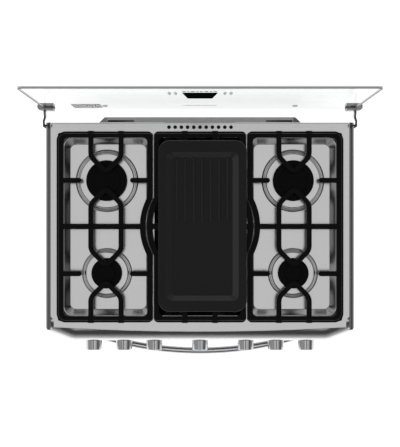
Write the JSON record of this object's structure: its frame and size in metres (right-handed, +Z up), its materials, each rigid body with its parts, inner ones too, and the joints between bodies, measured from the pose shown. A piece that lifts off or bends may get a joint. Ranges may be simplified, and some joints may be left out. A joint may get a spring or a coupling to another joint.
{
  "type": "commercial gas range",
  "caption": "Free-standing gas range with raised glass lid, cast-iron grates, ribbed griddle, front knobs, oven with drop-down door and storage drawer.",
  "frame": {"origin": "on the floor, centre of the bounding box seen from above", "axes": "+Z up, -Y towards the cook (oven door, knobs), +X to the cook's right"},
  "size_m": [0.7854, 0.629, 1.394],
  "materials": {
    "stainless": "brushed",
    "panel_stainless": "brushed",
    "stainless_door": "brushed",
    "trim": "satin grey",
    "body_paint": "satin grey",
    "galvanised": "zinc coated sheet",
    "enamel": "dark enamel",
    "mineral_wool": "fibrous",
    "burner_tube_steel": "aluminised",
    "chrome_wire": "polished wire",
    "seal": "woven",
    "hinge_steel": "pressed",
    "pipe_steel": "black pipe",
    "brass": "machined",
    "aluminium": "cast",
    "cap_enamel": "matt enamel",
    "black_steel": "satin",
    "clip_steel": "satin",
    "screw_steel": "plated",
    "clear_glass": "clear, toughened",
    "dark_glass": "dark tinted",
    "bumper": "soft",
    "handle_metal": "polished",
    "cast_iron": "matt enamelled",
    "griddle_iron": "satin non-stick",
    "foot_plastic": "moulded",
    "stem_steel": "turned",
    "knob_metal": "satin chrome"
  },
  "bodies": {
    "chassis": {"base_frame": "galvanised", "side_panels": "body_paint", "back_panel": "galvanised", "rear_cover": "galvanised", "cooktop": "stainless", "side_trims": "trim", "control_panel": "panel_stainless", "oven_cavity": "enamel", "oven_insulation": "mineral_wool", "oven_floor_plate": "enamel", "oven_burner": "burner_tube_steel", "rack_guides": "chrome_wire", "door_gasket": "seal", "door_hinges": "hinge_steel", "gas_manifold": "pipe_steel", "gas_valves": "brass", "burner_tubes": "aluminium", "burner_bases": "aluminium", "burner_heads": "aluminium", "burner_caps": "cap_enamel", "lid_hinge_brackets": "black_steel", "drawer_rails": "galvanised", "oven_flue": "galvanised", "body_screws": "screw_steel"},
    "lid": {"lid_glass": "clear_glass", "lid_clips": "clip_steel", "lid_arms": "black_steel", "lid_bumpers": "bumper"},
    "oven_door": {"door_outer": "stainless_door", "door_window": "dark_glass", "door_inner": "enamel", "door_inner_glass": "clear_glass", "door_insulation": "mineral_wool", "door_handle": "handle_metal", "hinge_arms": "hinge_steel"},
    "rack": {"oven_rack": "chrome_wire"},
    "drawer": {"drawer_front": "stainless_door", "drawer_box": "galvanised"},
    "stem_body_1": {"stem_1": "stem_steel"},
    "knob_body_1": {"knob_1": "knob_metal"},
    "stem_body_2": {"stem_2": "stem_steel"},
    "knob_body_2": {"knob_2": "knob_metal"},
    "stem_body_3": {"stem_3": "stem_steel"},
    "knob_body_3": {"knob_3": "knob_metal"},
    "stem_body_4": {"stem_4": "stem_steel"},
    "knob_body_4": {"knob_4": "knob_metal"},
    "stem_body_5": {"stem_5": "stem_steel"},
    "knob_body_5": {"knob_5": "knob_metal"},
    "stem_body_6": {"stem_6": "stem_steel"},
    "knob_body_6": {"knob_6": "knob_metal"},
    "stem_body_7": {"stem_7": "stem_steel"},
    "knob_body_7": {"knob_7": "knob_metal"},
    "grate_left_body": {"grate_left": "cast_iron"},
    "grate_centre_body": {"grate_centre": "cast_iron"},
    "grate_right_body": {"grate_right": "cast_iron"},
    "griddle_body": {"griddle": "griddle_iron"},
    "foot_front_left_body": {"foot_front_left": "foot_plastic"},
    "foot_front_right_body": {"foot_front_right": "foot_plastic"},
    "foot_rear_left_body": {"foot_rear_left": "foot_plastic"},
    "foot_rear_right_body": {"foot_rear_right": "foot_plastic"}
  },
  "joints": [
    {"name": "lid_hinge", "type": "hinge", "parent": "chassis", "child": "lid", "pos_m": [0, 0.265, 0.908], "axis": [-1, 0, 0], "range_deg": [-90, 0]},
    {"name": "oven_door_hinge", "type": "hinge", "parent": "chassis", "child": "oven_door", "pos_m": [0, -0.24, 0.225], "axis": [1, 0, 0], "range_deg": [0, 90], "stiffness_Nm_per_rad": 8, "springref_deg": -34.38},
    {"name": "rack_slide", "type": "slide", "parent": "chassis", "child": "rack", "axis": [0, -1, 0], "range_m": [0, 0.236]},
    {"name": "drawer_slide", "type": "slide", "parent": "chassis", "child": "drawer", "axis": [0, -1, 0], "range_m": [0, 0.33]},
    {"name": "knob_1_turn", "type": "hinge", "parent": "chassis", "child": "stem_body_1", "pos_m": [-0.266, -0.264, 0.848], "axis": [0, -1, 0], "range_deg": [0, 210]},
    {"name": "knob_1_push", "type": "slide", "parent": "stem_body_1", "child": "knob_body_1", "axis": [0, 1, 0], "range_m": [0, 0.003], "stiffness_N_per_m": 600, "springref_m": -0.002},
    {"name": "knob_2_turn", "type": "hinge", "parent": "chassis", "child": "stem_body_2", "pos_m": [-0.19, -0.264, 0.848], "axis": [0, -1, 0], "range_deg": [0, 210]},
    {"name": "knob_2_push", "type": "slide", "parent": "stem_body_2", "child": "knob_body_2", "axis": [0, 1, 0], "range_m": [0, 0.003], "stiffness_N_per_m": 600, "springref_m": -0.002},
    {"name": "knob_3_turn", "type": "hinge", "parent": "chassis", "child": "stem_body_3", "pos_m": [-0.114, -0.264, 0.848], "axis": [0, -1, 0], "range_deg": [0, 210]},
    {"name": "knob_3_push", "type": "slide", "parent": "stem_body_3", "child": "knob_body_3", "axis": [0, 1, 0], "range_m": [0, 0.003], "stiffness_N_per_m": 600, "springref_m": -0.002},
    {"name": "knob_4_turn", "type": "hinge", "parent": "chassis", "child": "stem_body_4", "pos_m": [0, -0.264, 0.848], "axis": [0, -1, 0], "range_deg": [0, 210]},
    {"name": "knob_4_push", "type": "slide", "parent": "stem_body_4", "child": "knob_body_4", "axis": [0, 1, 0], "range_m": [0, 0.003], "stiffness_N_per_m": 600, "springref_m": -0.002},
    {"name": "knob_5_turn", "type": "hinge", "parent": "chassis", "child": "stem_body_5", "pos_m": [0.114, -0.264, 0.848], "axis": [0, -1, 0], "range_deg": [0, 210]},
    {"name": "knob_5_push", "type": "slide", "parent": "stem_body_5", "child": "knob_body_5", "axis": [0, 1, 0], "range_m": [0, 0.003], "stiffness_N_per_m": 600, "springref_m": -0.002},
    {"name": "knob_6_turn", "type": "hinge", "parent": "chassis", "child": "stem_body_6", "pos_m": [0.19, -0.264, 0.848], "axis": [0, -1, 0], "range_deg": [0, 210]},
    {"name": "knob_6_push", "type": "slide", "parent": "stem_body_6", "child": "knob_body_6", "axis": [0, 1, 0], "range_m": [0, 0.003], "stiffness_N_per_m": 600, "springref_m": -0.002},
    {"name": "knob_7_turn", "type": "hinge", "parent": "chassis", "child": "stem_body_7", "pos_m": [0.266, -0.264, 0.848], "axis": [0, -1, 0], "range_deg": [0, 270]},
    {"name": "knob_7_push", "type": "slide", "parent": "stem_body_7", "child": "knob_body_7", "axis": [0, 1, 0], "range_m": [0, 0.003], "stiffness_N_per_m": 600, "springref_m": -0.002},
    {"name": "grate_left_lift", "type": "slide", "parent": "chassis", "child": "grate_left_body", "axis": [0, 0, 1], "range_m": [0, 0.12]},
    {"name": "grate_centre_lift", "type": "slide", "parent": "chassis", "child": "grate_centre_body", "axis": [0, 0, 1], "range_m": [0, 0.12]},
    {"name": "grate_right_lift", "type": "slide", "parent": "chassis", "child": "grate_right_body", "axis": [0, 0, 1], "range_m": [0, 0.12]},
    {"name": "griddle_lift", "type": "slide", "parent": "grate_centre_body", "child": "griddle_body", "axis": [0, 0, 1], "range_m": [0, 0.1]},
    {"name": "foot_front_left_turn", "type": "hinge", "parent": "chassis", "child": "foot_front_left_body", "pos_m": [-0.33, -0.17, 0.04], "axis": [0, 0, 1], "continuous": true},
    {"name": "foot_front_right_turn", "type": "hinge", "parent": "chassis", "child": "foot_front_right_body", "pos_m": [0.33, -0.17, 0.04], "axis": [0, 0, 1], "continuous": true},
    {"name": "foot_rear_left_turn", "type": "hinge", "parent": "chassis", "child": "foot_rear_left_body", "pos_m": [-0.33, 0.225, 0.04], "axis": [0, 0, 1], "continuous": true},
    {"name": "foot_rear_right_turn", "type": "hinge", "parent": "chassis", "child": "foot_rear_right_body", "pos_m": [0.33, 0.225, 0.04], "axis": [0, 0, 1], "continuous": true}
  ],
  "couplings": [
    {"joint": "rack_slide", "follows": "oven_door_hinge", "m_per_rad": 0.15}
  ]
}
